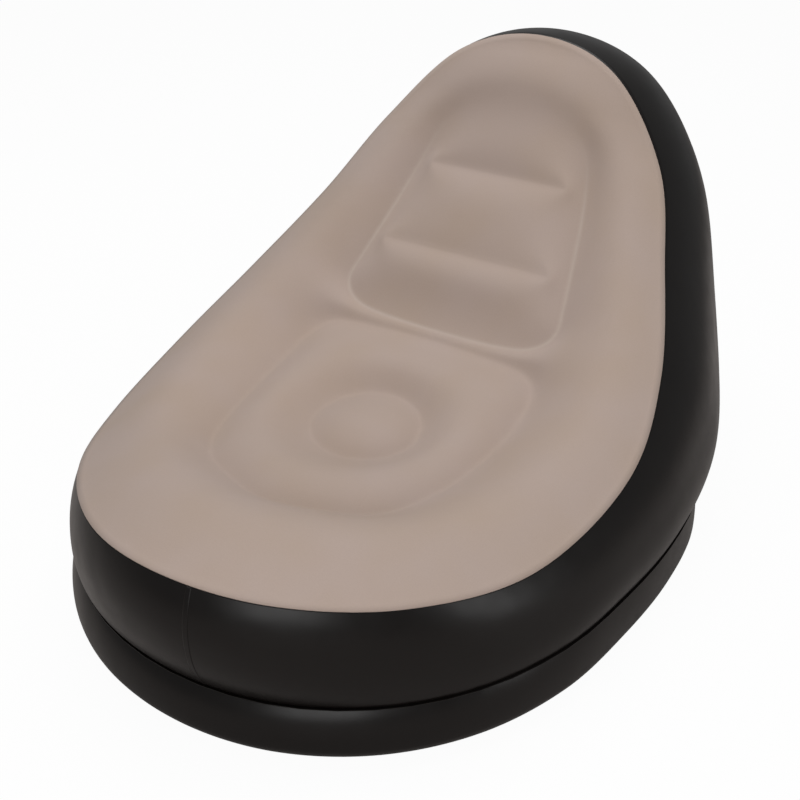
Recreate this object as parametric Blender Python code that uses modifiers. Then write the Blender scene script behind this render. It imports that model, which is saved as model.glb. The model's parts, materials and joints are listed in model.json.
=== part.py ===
"""Inflatable air lounger: a flocked seat panel welded to an air-filled body on a base ring.

Metres, +Z up, the front faces -Y. The origin is on the floor, WAIST_FRONT_Y behind the waist's front.
Every sheet is its own closed solid. The sheets are drawn thicker than the real 0.4 mm film.
"""

import math

import bmesh
import bpy
import numpy as np
from mathutils import Vector
from mathutils.geometry import delaunay_2d_cdt

# Sheets and clearances
PVC = 0.0010
FLOCKED = 0.0015
GAP = 0.0003
LAP = 0.010
LAP_CLEARANCE = 0.0005
CREASE_FLANGE = 0.004

# Top seam, where the flocked panel is welded to the side wall
TOP_WIDTH = 0.864
TOP_LENGTH = 1.040
ARM_HEIGHT = 0.231
BACK_HEIGHT = 0.752
SEAM_FRONT_Y = -0.590
# Half width, way from front to rear, and height above the arms, from front middle to top middle
SEAM_SHARES = (
    (0.0, 0.0, 0.094),
    (0.370, 0.037, 0.071),
    (0.694, 0.144, 0.031),
    (0.914, 0.309, 0.0),
    (1.0, 0.519, 0.067),
    (0.937, 0.683, 0.215),
    (0.787, 0.825, 0.434),
    (0.625, 0.936, 0.676),
    (0.347, 0.990, 0.919),
    (0.0, 1.0, 1.0),
)

# Waist crease between the body and the base ring
WAIST_WIDTH = 0.959
WAIST_LENGTH = 1.275
WAIST_FRONT_Y = -0.584
WAIST_HEIGHT = 0.099
# Half width and way from front to rear
WAIST_SHARES = (
    (0.0, 0.0),
    (0.300, 0.018),
    (0.570, 0.072),
    (0.780, 0.155),
    (0.915, 0.260),
    (0.975, 0.375),
    (1.0, 0.490),
    (0.975, 0.605),
    (0.865, 0.712),
    (0.720, 0.812),
    (0.540, 0.907),
    (0.300, 0.978),
    (0.0, 1.0),
)

# Side wall: how far its middle stands off the straight way from crease to seam
WALL_OUT_FRONT = 0.016
WALL_OUT_REAR = 0.034
WALL_BACK = 0.105
WALL_LIFT = 0.102
WALL_LIFT_POWER = 5
WALL_ROUND_POWER = 2.0
WALL_FULL_POWER = 3.5
WALL_ROW_SHARES = (0.0, 0.05, 0.14, 0.29, 0.50, 0.71, 0.86, 0.95, 1.0)
SEAM_ROW_SHARE = 0.96

# Base ring
BASE_OVERHANG_FRONT = 0.021
BASE_OVERHANG = 0.006
OVERHANG_POWER = 3
BASE_ROUND = 0.062
BASE_MID_HEIGHT = 0.037
BASE_LOW_SHARE = 0.5
BASE_ROW_SHARES = (0.0, 0.13, 0.26, 0.38, 0.50, 0.75, 1.0)
BOTTOM_MARGIN = 0.006

# Seat pad, measured along the sheet from the front seam
SEAT_PAD_START = 0.221
SEAT_PAD_LENGTH = 0.480
SEAT_PAD_WIDTH = 0.448
SEAT_FRONT_LIFT = 0.025
SEAT_REAR_SINK = 0.050
SEAT_SINK_POWER = 1.3
SEAT_PAD_SHARES = (
    (0.0, 0.0),
    (0.42, 0.060),
    (0.69, 0.145),
    (0.87, 0.320),
    (0.965, 0.530),
    (1.0, 0.740),
    (0.975, 0.880),
    (0.84, 0.968),
    (0.50, 0.992),
    (0.0, 1.0),
)

# Oval weld in the middle of the seat pad
OVAL_WIDTH = 0.184
OVAL_LENGTH = 0.170
OVAL_PLACE_SHARE = 0.5625
OVAL_SINK = 0.014

# Back pad, above the seat pad on the same sheet
PAD_SPACING = 0.020
BACK_PAD_LENGTH = 0.434
BACK_PAD_WIDTH = 0.418
BACK_LOW_SINK = 0.035
BACK_TOP_SINK = 0.055
BACK_LOW_POWER = 6
BACK_TOP_POWER = 8
BACK_PAD_SHARES = (
    (0.0, 0.0),
    (0.58, 0.008),
    (0.86, 0.038),
    (0.99, 0.112),
    (0.965, 0.225),
    (0.92, 0.350),
    (0.79, 0.680),
    (0.68, 0.850),
    (0.50, 0.940),
    (0.25, 0.985),
    (0.0, 1.0),
)
LOWER_WELD_SHARE = 0.31
UPPER_WELD_SHARE = 0.68
WELD_END_INSET = 0.036

# How steeply the sheet swells away from its welds
RIM_SWELL = 0.70
SEAT_SWELL = 0.60
OVAL_SWELL = 0.55
BACK_SWELL = 0.60

# Inner webs: how far their edge lies under a weld line, and their air passages
WEB_SEAT = 0.0026
AIR_HOLE_RADIUS = 0.020
AIR_HOLE_HEIGHT = 0.045
BASE_WEB_INSET = 0.150
BASE_AIR_HOLE_RADIUS = 0.015

# Screw valve, turned about its own axis; heights run outward from the wall it sits on
NECK_RADIUS = 0.0185
NECK_WALL = 0.0020
NECK_INWARD = 0.0120
NECK_OUTWARD = 0.0060
COLLAR_RADIUS = 0.0260
COLLAR_THICKNESS = 0.0015
COLLAR_STEP = 0.0010
FLAT_MARGIN = 0.0015
THREAD_CLEARANCE = 0.0005
SEAL_THICKNESS = 0.0015
PLUG_HEAD_RADIUS = 0.0205
PLUG_HEAD_THICKNESS = 0.0040
PLUG_CHAMFER = 0.0008
PLUG_INWARD = 0.0140
BORE_RADIUS = 0.0075
CAP_SEAT_RADIUS = 0.0115
CAP_SEAT_DEPTH = 0.0020
CAP_THICKNESS = 0.0020
CAP_STUB_LENGTH = 0.0060
CAP_STUB_TAPER = 0.0017
CAP_TAB_WIDTH = 0.0070
CAP_TAB_REACH = 0.0045
CAP_TAB_THICKNESS = 0.0010
STRAP_HINGE_RADIUS = 0.0145
STRAP_WIDTH = 0.0060
STRAP_THICKNESS = 0.0005
STRAP_FOLD = 0.0009
STRAP_ANCHOR_REACH = 0.0035
FLAP_RADIUS = 0.0095
FLAP_THICKNESS = 0.0008
FLAP_HINGE_RISE = 0.0105
FLAP_NECK_WIDTH = 0.0060
STUD_RADIUS = 0.0012
STUD_RISE = 0.0125
GRIP_COUNT = 12
GRIP_RADIUS = 0.0016

# Fineness of the drawing
LOOP_SAMPLES = 720
SEAM_POINTS = 72
SEAT_POINTS = 34
OVAL_POINTS = 16
BACK_POINTS = 34
CROSS_WELD_POINTS = 7
PANEL_CELL = 0.0455
CELL_CLEAR_SHARE = 0.48
WINDOW_SHARE = 1.5
RING_POINTS = 20
TURNED_STEPS = 32
CUT_OVERRUN = 0.010
MERGE = 0.00001

# Material colours, sRGB 0 to 1, with roughness
FLOCK_LOOK = (0.66, 0.58, 0.53), 0.95
BLACK_PVC_LOOK = (0.11, 0.105, 0.105), 0.38
INNER_PVC_LOOK = (0.30, 0.30, 0.31), 0.50
VALVE_LOOK = (0.16, 0.16, 0.17), 0.35
SEAL_LOOK = (0.62, 0.62, 0.60), 0.60


def clear_scene():
    """Remove what the file holds, so that the script starts from nothing."""
    for item in list(bpy.data.objects):
        bpy.data.objects.remove(item, do_unlink=True)


def new_collection(name):
    """A collection linked to the scene."""
    group = bpy.data.collections.new(name)
    bpy.context.scene.collection.children.link(group)
    return group


def new_material(name, look):
    """A Principled material of one colour and roughness."""
    colour, roughness = look
    material = bpy.data.materials.new(name)
    material.use_nodes = True
    shader = material.node_tree.nodes["Principled BSDF"]
    shader.inputs["Base Color"].default_value = (*[c ** 2.2 for c in colour], 1.0)
    shader.inputs["Roughness"].default_value = roughness
    material.diffuse_color = (*colour, 1.0)
    return material


# Curves that every sheet follows


def smooth_loop(points, steps=24):
    """Closed Catmull-Rom curve through the given points."""
    points = np.asarray(points, dtype=float)
    t = np.linspace(0, 1, steps, endpoint=False)[:, None]
    spans = []
    for i in range(len(points)):
        a, b, c, d = (points[(i + k) % len(points)] for k in (-1, 0, 1, 2))
        spans.append(0.5 * (2 * b + (c - a) * t + (2 * a - 5 * b + 4 * c - d) * t**2
                            + (3 * b - a - 3 * c + d) * t**3))
    return np.concatenate(spans)


def even_loop(loop, count):
    """The same closed curve with count points at equal steps along it."""
    closed = np.vstack([loop, loop[:1]])
    way = np.concatenate([[0], np.cumsum(np.linalg.norm(np.diff(closed, axis=0), axis=1))])
    at = np.arange(count) / count * way[-1]
    return np.stack([np.interp(at, way, closed[:, k]) for k in range(loop.shape[1])], axis=1)


def mirrored(right_half):
    """A closed outline from its right half, whose first and last points lie on the middle line."""
    right_half = np.asarray(right_half, dtype=float)
    left_half = right_half[-2:0:-1].copy()
    left_half[:, 0] *= -1
    return np.vstack([right_half, left_half])


def seam_loop():
    """The top seam in space: an egg from above, a scoop from the side."""
    half = [(x * TOP_WIDTH / 2, SEAM_FRONT_Y + y * TOP_LENGTH,
             ARM_HEIGHT + z * (BACK_HEIGHT - ARM_HEIGHT)) for x, y, z in SEAM_SHARES]
    return even_loop(smooth_loop(mirrored(half)), LOOP_SAMPLES)


def outward(loop):
    """Unit vectors that point out of a level loop which runs from the front over +X."""
    along = np.roll(loop, -1, axis=0) - np.roll(loop, 1, axis=0)
    return unit(np.stack([along[:, 1], -along[:, 0]], axis=1))


def waist_loop(inset=0.0):
    """The waist crease from above, or a copy of it drawn in by inset."""
    half = [(x * WAIST_WIDTH / 2, WAIST_FRONT_Y + y * WAIST_LENGTH) for x, y in WAIST_SHARES]
    loop = even_loop(smooth_loop(mirrored(half)), LOOP_SAMPLES)
    return loop - outward(loop) * inset


def around(table, t):
    """Values of a closed table of samples at shares t of the way round."""
    at = (np.asarray(t) % 1.0) * len(table)
    low = np.floor(at).astype(int)
    part = (at - low)[:, None]
    return table[low % len(table)] * (1 - part) + table[(low + 1) % len(table)] * part


def unit(vectors):
    """Vectors scaled to length one."""
    return vectors / np.linalg.norm(vectors, axis=1)[:, None]


class SideWall:
    """The wall between waist and seam, as a surface over (way round, way up)."""

    def __init__(self, panel):
        seam, inner, normal = panel.welded_margin()
        self.top = seam - normal * (FLOCKED + LAP_CLEARANCE)
        self.lap = inner - seam
        waist = waist_loop()
        level = np.full((LOOP_SAMPLES, 1), WAIST_HEIGHT + PVC / 2 + GAP)
        self.foot = np.hstack([waist, level])
        self.rise = self.top - self.foot
        way_back = np.clip((seam[:, 1:2] - SEAM_FRONT_Y) / TOP_LENGTH, 0, 1)
        out = WALL_OUT_FRONT + (WALL_OUT_REAR - WALL_OUT_FRONT) * way_back
        self.bulge = np.hstack([outward(waist) * out, WALL_LIFT * way_back**WALL_LIFT_POWER])
        self.bulge[:, 1:2] += WALL_BACK * way_back
        self.power = WALL_ROUND_POWER + (WALL_FULL_POWER - WALL_ROUND_POWER) * way_back

    def point(self, t, w):
        """Outer surface; above SEAM_ROW_SHARE the sheet turns in and laps under the panel."""
        t, w = np.asarray(t, dtype=float), np.asarray(w, dtype=float)[:, None]
        v = np.minimum(w / SEAM_ROW_SHARE, 1)
        full = 1 - np.abs(2 * v - 1) ** around(self.power, t)
        under = np.maximum(w - SEAM_ROW_SHARE, 0) / (1 - SEAM_ROW_SHARE)
        body = around(self.foot, t) + around(self.rise, t) * v + around(self.bulge, t) * full
        return body + around(self.lap, t) * under


class BaseWall:
    """The round wall of the base ring, from its foot on the floor up to the crease."""

    def __init__(self):
        self.waist = waist_loop()
        self.out = outward(self.waist)
        way_front = 1 - (self.waist[:, 1:] - WAIST_FRONT_Y) / WAIST_LENGTH
        self.overhang = BASE_OVERHANG + (BASE_OVERHANG_FRONT - BASE_OVERHANG) * way_front**OVERHANG_POWER
        self.top_angle = np.arccos((BASE_ROUND - self.overhang) / BASE_ROUND)
        self.low_half = BASE_MID_HEIGHT - PVC - GAP
        self.high_half = (WAIST_HEIGHT - PVC / 2 - GAP - BASE_MID_HEIGHT) / np.sin(self.top_angle)

    def point(self, t, w):
        """Outer surface; w is 0 at the bottom sheet, BASE_LOW_SHARE where it is widest, 1 at the crease."""
        t, w = np.asarray(t, dtype=float), np.asarray(w, dtype=float)[:, None]
        low = -math.pi / 2 * (1 - w / BASE_LOW_SHARE)
        angle = np.where(low < 0, low, around(self.top_angle, t) * (w - BASE_LOW_SHARE) / (1 - BASE_LOW_SHARE))
        side = around(self.overhang, t) - BASE_ROUND + BASE_ROUND * np.cos(angle)
        half = np.where(angle < 0, self.low_half, around(self.high_half, t))
        plan = around(self.waist, t) + around(self.out, t) * side
        return np.hstack([plan, BASE_MID_HEIGHT + half * np.sin(angle)])

    def sole(self):
        """Outline of the bottom sheet, a margin outside the wall's foot."""
        return self.waist + self.out * (self.overhang - BASE_ROUND + BOTTOM_MARGIN)


# The flocked panel is drawn flat, as it is cut, and then laid over the scoop


class FlockedPanel:
    """The panel over its flat pattern: across the sheet and along it from the front seam."""

    def __init__(self, seam):
        half = seam[:LOOP_SAMPLES // 2 + 1]
        steps = np.hypot(np.diff(half[:, 1]), np.diff(half[:, 2]))
        self.way = np.concatenate([[0], np.cumsum(steps)])
        self.length = self.way[-1]
        self.grid = np.linspace(0, self.length, LOOP_SAMPLES)
        self.line = np.stack([np.interp(self.grid, self.way, half[:, k]) for k in (1, 2)], axis=1)
        slope = unit(np.gradient(self.line, self.grid, axis=0))
        self.normal = np.stack([-slope[:, 1], slope[:, 0]], axis=1)
        right = np.stack([half[:, 0], self.way], axis=1)
        left = right[-2:0:-1] * (-1, 1)
        self.outline = np.vstack([right, left])
        self.lap_line = self.outline - outward(self.outline) * LAP
        self.seat = self.pad_loop(SEAT_PAD_SHARES, SEAT_PAD_WIDTH, SEAT_PAD_START, SEAT_PAD_LENGTH)
        back_start = SEAT_PAD_START + SEAT_PAD_LENGTH + PAD_SPACING
        self.back = self.pad_loop(BACK_PAD_SHARES, BACK_PAD_WIDTH, back_start, BACK_PAD_LENGTH)
        angle = 2 * math.pi * np.arange(LOOP_SAMPLES) / LOOP_SAMPLES
        oval_at = SEAT_PAD_START + OVAL_PLACE_SHARE * SEAT_PAD_LENGTH
        self.oval = np.stack([OVAL_WIDTH / 2 * np.sin(angle),
                              oval_at - OVAL_LENGTH / 2 * np.cos(angle)], axis=1)
        self.lower_weld = self.cross_weld(back_start + LOWER_WELD_SHARE * BACK_PAD_LENGTH)
        self.upper_weld = self.cross_weld(back_start + UPPER_WELD_SHARE * BACK_PAD_LENGTH)
        self.back_start = back_start
        self.collect_welds()

    def pad_loop(self, shares, width, start, length):
        """Flat outline of a pad from the shares of its right half."""
        half = [(x * width / 2, start + s * length) for x, s in shares]
        return even_loop(smooth_loop(mirrored(half)), LOOP_SAMPLES)

    def cross_weld(self, at):
        """A straight weld across the back pad that stops short of the pad's outline."""
        half = self.back[:LOOP_SAMPLES // 2 + 1]
        nearest = np.argmin(np.abs(half[:, 1] - at))
        reach = half[nearest, 0] - WELD_END_INSET
        across = np.linspace(-reach, reach, LOOP_SAMPLES // 8)
        return np.stack([across, np.full_like(across, at)], axis=1)

    def seat_level(self, s):
        """Height of the seat's welds off the scoop line."""
        p = np.clip((s - SEAT_PAD_START) / SEAT_PAD_LENGTH, 0, 1)
        return SEAT_FRONT_LIFT - (SEAT_FRONT_LIFT + SEAT_REAR_SINK) * p**SEAT_SINK_POWER

    def back_level(self, s):
        """Height of the back pad's welds off the scoop line."""
        p = np.clip((s - self.back_start) / BACK_PAD_LENGTH, 0, 1)
        return -BACK_LOW_SINK * (1 - p) ** BACK_LOW_POWER - BACK_TOP_SINK * p**BACK_TOP_POWER

    def collect_welds(self):
        """Sample every weld line: place, height off the scoop, and length of the sample."""
        lines = [
            (self.outline, np.zeros(len(self.outline)), True),
            (self.seat, self.seat_level(self.seat[:, 1]), True),
            (self.oval, self.seat_level(self.oval[:, 1]) - OVAL_SINK, True),
            (self.back, self.back_level(self.back[:, 1]), True),
            (self.lower_weld, self.back_level(self.lower_weld[:, 1]), False),
            (self.upper_weld, self.back_level(self.upper_weld[:, 1]), False),
        ]
        places, levels, lengths = [], [], []
        for line, level, closed in lines:
            ahead = np.roll(line, -1, axis=0) if closed else np.vstack([line[1:], line[-1:]])
            places.append(line)
            levels.append(level)
            lengths.append(np.linalg.norm(ahead - line, axis=1))
        self.weld_place = np.concatenate(places)
        self.weld_level = np.concatenate(levels)
        self.weld_length = np.concatenate(lengths)

    def relief(self, flat):
        """Height of the sheet off the scoop: the welds hold it, the air swells it between them."""
        away = flat[:, None, :] - self.weld_place[None, :, :]
        distance = np.maximum(np.hypot(away[..., 0], away[..., 1]), GAP)
        pull = self.weld_length / distance**3
        total = pull.sum(axis=1)
        held = (pull * self.weld_level).sum(axis=1) / total
        swell = np.full(len(flat), RIM_SWELL)
        swell[inside(self.seat, flat)] = SEAT_SWELL
        swell[inside(self.oval, flat)] = OVAL_SWELL
        swell[inside(self.back, flat)] = BACK_SWELL
        on_weld = distance.min(axis=1) <= GAP
        return np.where(on_weld, held, held + swell * np.sqrt(2 / total))

    def point(self, flat):
        """The sheet's upper face in space over points of the flat pattern."""
        flat = np.asarray(flat, dtype=float)
        height = self.relief(flat)
        place = [np.interp(flat[:, 1], self.grid, self.line[:, k]) for k in (0, 1)]
        normal = [np.interp(flat[:, 1], self.grid, self.normal[:, k]) for k in (0, 1)]
        return np.stack([flat[:, 0], place[0] + normal[0] * height,
                         place[1] + normal[1] * height], axis=1)

    def welded_margin(self):
        """Upper face of the margin over the wall's lap: seam, inner edge and upward normals."""
        seam, inner = self.point(self.outline), self.point(self.lap_line)
        along = np.roll(seam, -1, axis=0) - np.roll(seam, 1, axis=0)
        return seam, inner, unit(np.cross(along, inner - seam))


def inside(loop, points):
    """Which points lie inside a closed flat loop."""
    a, b = loop, np.roll(loop, -1, axis=0)
    x, y = points[:, :1], points[:, 1:]
    spans = (a[:, 1] > y) != (b[:, 1] > y)
    rise = np.where(b[:, 1] == a[:, 1], 1, b[:, 1] - a[:, 1])
    crossing = a[:, 0] + (y - a[:, 1]) * (b[:, 0] - a[:, 0]) / rise
    return (spans & (x < crossing)).sum(axis=1) % 2 == 1


# Mesh making


def triangulate(lines, loose, keep):
    """Delaunay triangles over lines that stay edges and loose points; keep tests the centres."""
    points, edges = [], []
    for line, closed in lines:
        first = len(points)
        points.extend(line)
        count = len(line)
        edges.extend((first + i, first + (i + 1) % count) for i in range(count if closed else count - 1))
    points.extend(loose)
    result = delaunay_2d_cdt([Vector(p) for p in points], edges, [], 0, MERGE)
    flat = np.array([tuple(v) for v in result[0]])
    faces = np.array([tuple(f) for f in result[2]])
    corners = flat[faces]
    ahead, beside = corners[:, 1] - corners[:, 0], corners[:, 2] - corners[:, 0]
    turned = ahead[:, 0] * beside[:, 1] - ahead[:, 1] * beside[:, 0] < 0
    faces[turned] = faces[turned][:, ::-1]
    return flat, faces[keep(corners.mean(axis=1))]


def mesh_object(name, points, faces, material, group):
    """An object from points and faces, with loose points dropped and doubles joined."""
    mesh = bpy.data.meshes.new(name)
    mesh.from_pydata([tuple(p) for p in points], [], [tuple(int(i) for i in f) for f in faces])
    shape = bmesh.new()
    shape.from_mesh(mesh)
    bmesh.ops.remove_doubles(shape, verts=shape.verts, dist=MERGE)
    loose = [v for v in shape.verts if not v.link_faces]
    bmesh.ops.delete(shape, geom=loose, context="VERTS")
    shape.to_mesh(mesh)
    shape.free()
    mesh.shade_smooth()
    item = bpy.data.objects.new(name, mesh)
    item.data.materials.append(material)
    group.objects.link(item)
    return item


def thicken(item, thickness, offset=-1.0):
    """Give an open sheet its thickness; at offset -1 the drawn face stays the outer one."""
    solid = item.modifiers.new("thickness", "SOLIDIFY")
    solid.thickness = thickness
    solid.offset = offset
    solid.use_even_offset = True


def cut(item, cutter):
    """Cut one object with another that is never shown."""
    boolean = item.modifiers.new("cut", "BOOLEAN")
    boolean.operation = "DIFFERENCE"
    boolean.solver = "EXACT"
    boolean.object = cutter


def as_cutter(item, cutters):
    """Move an object into the cutters' collection and hide it from renders."""
    for group in list(item.users_collection):
        group.objects.unlink(item)
    cutters.objects.link(item)
    item.hide_render = True
    item.display_type = "WIRE"
    return item


def cylinder(name, radius, length, place, axis, group, steps=TURNED_STEPS):
    """A cylinder centred on place along a world axis."""
    mesh = bpy.data.meshes.new(name)
    shape = bmesh.new()
    bmesh.ops.create_cone(shape, cap_ends=True, segments=steps, radius1=radius, radius2=radius, depth=length)
    shape.to_mesh(mesh)
    shape.free()
    item = bpy.data.objects.new(name, mesh)
    item.location = place
    item.rotation_euler = Vector((0, 0, 1)).rotation_difference(Vector(axis)).to_euler()
    group.objects.link(item)
    return item


def block(name, size, place, material, group):
    """A box of the given size centred on place."""
    mesh = bpy.data.meshes.new(name)
    shape = bmesh.new()
    bmesh.ops.create_cube(shape, size=1.0)
    bmesh.ops.scale(shape, vec=size, verts=shape.verts)
    shape.to_mesh(mesh)
    shape.free()
    item = bpy.data.objects.new(name, mesh)
    item.location = place
    item.data.materials.append(material)
    group.objects.link(item)
    return item


def turned(name, profile, material, group, closed=True, steps=TURNED_STEPS):
    """A turned part: its profile of (radius, height) swept about local Z."""
    mesh = bpy.data.meshes.new(name)
    count = len(profile)
    edges = [(i, (i + 1) % count) for i in range(count if closed else count - 1)]
    mesh.from_pydata([(r, 0, h) for r, h in profile], edges, [])
    item = bpy.data.objects.new(name, mesh)
    item.data.materials.append(material)
    group.objects.link(item)
    screw = item.modifiers.new("turn", "SCREW")
    screw.steps = steps
    screw.render_steps = steps
    screw.use_merge_vertices = True
    screw.merge_threshold = MERGE
    screw.use_smooth_shade = False
    return item


# Sheets of the body


def valve_window(surface, place):
    """Flat seat for a valve on a wall's rear: its middle in space and the scale of the pattern."""
    step = 1.0 / LOOP_SAMPLES
    here, beside, above = surface.point([0.5, 0.5 + step, 0.5], [place, place, place + step])
    return here, np.linalg.norm(beside - here) / step, np.linalg.norm(above - here) / step


def rearmost(surface):
    """Way up the wall's rear where it stands out furthest and faces straight back."""
    ways = np.linspace(0, 1, LOOP_SAMPLES)
    return ways[np.argmax(surface.point(np.full(LOOP_SAMPLES, 0.5), ways)[:, 1])]


def way_to_height(surface, height):
    """Way up the wall's rear to a height above the floor."""
    ways = np.linspace(0, 1, LOOP_SAMPLES)
    return np.interp(height, surface.point(np.full(LOOP_SAMPLES, 0.5), ways)[:, 2], ways)


def wall_sheet(name, surface, place, rows, material, group):
    """A closed band of sheet on a wall surface, flat and open where its valve sits."""
    middle, wide, high = valve_window(surface, place)
    flat_radius = COLLAR_RADIUS + FLAT_MARGIN
    hole_radius = NECK_RADIUS + GAP
    centre = np.array([0.5 * wide, place * high])
    columns = np.arange(SEAM_POINTS + 1) / SEAM_POINTS * wide
    levels = np.array(rows) * high
    foot = [(x, levels[0]) for x in columns]
    top = [(x, levels[-1]) for x in columns]
    start = [(columns[0], y) for y in levels]
    end = [(columns[-1], y) for y in levels]
    field = np.array([(x, y) for y in levels[1:-1] for x in columns[1:-1]])
    field = field[np.hypot(*(field - centre).T) > flat_radius * WINDOW_SHARE]
    angle = 2 * math.pi * np.arange(RING_POINTS) / RING_POINTS
    ring = np.stack([np.cos(angle), np.sin(angle)], axis=1)
    rim, hole = centre + ring * flat_radius, centre + ring * hole_radius
    bend = [(x, levels[-2]) for x in columns]
    braces = [([bend[i], top[i + 1]], False) for i in range(SEAM_POINTS)]
    lines = [(foot, False), (bend, False), (top, False), (start, False), (end, False), (rim, True), (hole, True)]
    flat, faces = triangulate(lines + braces, field, lambda c: ~inside(hole, c))
    points = surface.point(flat[:, 0] / wide, flat[:, 1] / high)
    offset = flat - centre
    seated = np.hypot(offset[:, 0], offset[:, 1]) < flat_radius + GAP
    points[seated] = middle + np.stack([-offset[seated, 0], np.zeros(seated.sum()), offset[seated, 1]], axis=1)
    item = mesh_object(name, points, faces, material, group)
    thicken(item, PVC)
    return middle


def spread_points(loop, welds, cell):
    """A triangular grid of points inside a loop that keeps off the weld lines."""
    low, high = loop.min(axis=0), loop.max(axis=0)
    rise = cell * math.sqrt(3) / 2
    columns = int((high[0] - low[0]) / cell / 2) + 1
    rows = int((high[1] - low[1]) / rise) + 1
    points = np.array([((i + j % 2 / 2) * cell, low[1] + j * rise)
                       for j in range(rows + 1) for i in range(-columns - 1, columns + 1)])
    points = points[inside(loop, points)]
    away = points[:, None, :] - welds[None, :, :]
    return points[np.hypot(away[..., 0], away[..., 1]).min(axis=1) > cell * CELL_CLEAR_SHARE]


def top_panel(panel, material, group):
    """The flocked sheet: pads and rim over the scoop, with a margin welded over the wall's lap."""
    ways = np.arange(SEAM_POINTS) / SEAM_POINTS
    outline = around(panel.lap_line, ways)
    seat = even_loop(panel.seat, SEAT_POINTS)
    oval = even_loop(panel.oval, OVAL_POINTS)
    back = even_loop(panel.back, BACK_POINTS)
    pick = np.linspace(0, len(panel.lower_weld) - 1, CROSS_WELD_POINTS).astype(int)
    lower, upper = panel.lower_weld[pick], panel.upper_weld[pick]
    lines = [(outline, True), (seat, True), (oval, True), (back, True), (lower, False), (upper, False)]
    loose = spread_points(outline, panel.weld_place, PANEL_CELL)
    flat, faces = triangulate(lines, loose, lambda c: inside(outline, c))
    points = panel.point(flat)
    seam = panel.point(around(panel.outline, ways))
    inner = [int(np.argmin(np.hypot(*(flat - p).T))) for p in outline]
    outer = len(points) + np.arange(SEAM_POINTS)
    margin = []
    for i in range(SEAM_POINTS):
        k = (i + 1) % SEAM_POINTS
        margin.append((outer[i], outer[k], inner[k]))
        margin.append((outer[i], inner[k], inner[i]))
    item = mesh_object("flocked_top_panel", np.vstack([points, seam]), [*faces, *margin], material, group)
    thicken(item, FLOCKED)
    return item


def level_sheet(name, loop, height, material, group):
    """A flat filled outline, centred on the given height."""
    curve = bpy.data.curves.new(name, "CURVE")
    curve.dimensions = "2D"
    curve.fill_mode = "BOTH"
    curve.extrude = PVC / 2
    spline = curve.splines.new("POLY")
    spline.points.add(len(loop) - 1)
    for point, (x, y) in zip(spline.points, loop):
        point.co = (x, y, 0, 1)
    spline.use_cyclic_u = True
    item = bpy.data.objects.new(name, curve)
    item.location.z = height
    item.data.materials.append(material)
    group.objects.link(item)
    return item


def upright_band(name, top, foot_height, material, group):
    """A closed web that hangs straight down from a loop in space to a level sheet."""
    count = len(top)
    foot = top.copy()
    foot[:, 2] = foot_height
    faces = [(i, (i + 1) % count, count + (i + 1) % count, count + i) for i in range(count)]
    item = mesh_object(name, np.vstack([foot, top]), faces, material, group)
    thicken(item, PVC, 0.0)
    return item


def under_weld(panel, flat):
    """Where a web meets the underside of a weld."""
    normal = [np.interp(flat[:, 1], panel.grid, panel.normal[:, k]) for k in (0, 1)]
    points = panel.point(flat)
    points[:, 1:] -= np.stack(normal, axis=1) * WEB_SEAT
    return points


def air_holes(item, centres, radius, length, axis, cutters):
    """Round passages through a web, one cutter for each."""
    for index, centre in enumerate(centres):
        name = f"{item.name}_hole_{index}"
        cut(item, as_cutter(cylinder(name, radius, length, centre, axis, cutters, TURNED_STEPS // 2), cutters))


def inner_webs(panel, material, group, cutters):
    """The bands and strips that hold the pads' welds down to the diaphragm."""
    floor = WAIST_HEIGHT + PVC / 2 + GAP
    hole_height = floor + AIR_HOLE_HEIGHT
    loops = (
        ("seat_ring_web", panel.seat, SEAT_POINTS),
        ("seat_centre_web", panel.oval, OVAL_POINTS),
        ("back_loop_web", panel.back, BACK_POINTS),
    )
    for name, loop, count in loops:
        top = under_weld(panel, even_loop(loop, count))
        band = upright_band(name, top, floor, material, group)
        low, high = top.min(axis=0), top.max(axis=0)
        middle = (0, (low[1] + high[1]) / 2, hole_height)
        air_holes(band, [middle], AIR_HOLE_RADIUS, high[0] - low[0] + CUT_OVERRUN, (1, 0, 0), cutters)
    for name, weld in (("back_lower_web", panel.lower_weld), ("back_upper_web", panel.upper_weld)):
        ends = under_weld(panel, weld[[0, -1]])
        wide = ends[1, 0] - ends[0, 0]
        high = ends[0, 2] - floor
        size = (wide, PVC, high)
        strip = block(name, size, (0, ends[0, 1], floor + high / 2), material, group)
        at = (0, ends[0, 1], hole_height)
        air_holes(strip, [at], AIR_HOLE_RADIUS, CUT_OVERRUN, (0, 1, 0), cutters)


def base_web(material, group, cutters):
    """The upright band that keeps the base flat between its two level sheets."""
    low, high = PVC + GAP, WAIST_HEIGHT - PVC / 2 - GAP
    loop = even_loop(waist_loop(BASE_WEB_INSET), SEAM_POINTS // 2)
    top = np.hstack([loop, np.full((len(loop), 1), high)])
    band = upright_band("base_ring_web", top, low, material, group)
    length = WAIST_WIDTH + CUT_OVERRUN
    air_holes(band, [(0, 0, (low + high) / 2)], BASE_AIR_HOLE_RADIUS, length, (1, 0, 0), cutters)


# Screw valve


def valve(prefix, seat, materials, group, cutters):
    """One valve on a wall's flat seat, with its axis straight out to the rear."""
    axis = bpy.data.objects.new(f"{prefix}_valve_axis", None)
    axis.location = seat
    axis.rotation_euler.x = -math.pi / 2
    group.objects.link(axis)
    plastic, rubber = materials
    pieces = [valve_collar(prefix, plastic, group), valve_seal(prefix, rubber, group)]
    pieces.append(valve_plug(prefix, plastic, group, cutters, axis))
    pieces.append(valve_cap(prefix, plastic, group))
    pieces.append(strap_anchor(prefix, plastic, group))
    pieces.append(valve_flap(prefix, rubber, group))
    pieces.append(flap_stud(prefix, plastic, group))
    for piece in pieces:
        piece.parent = axis


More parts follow.
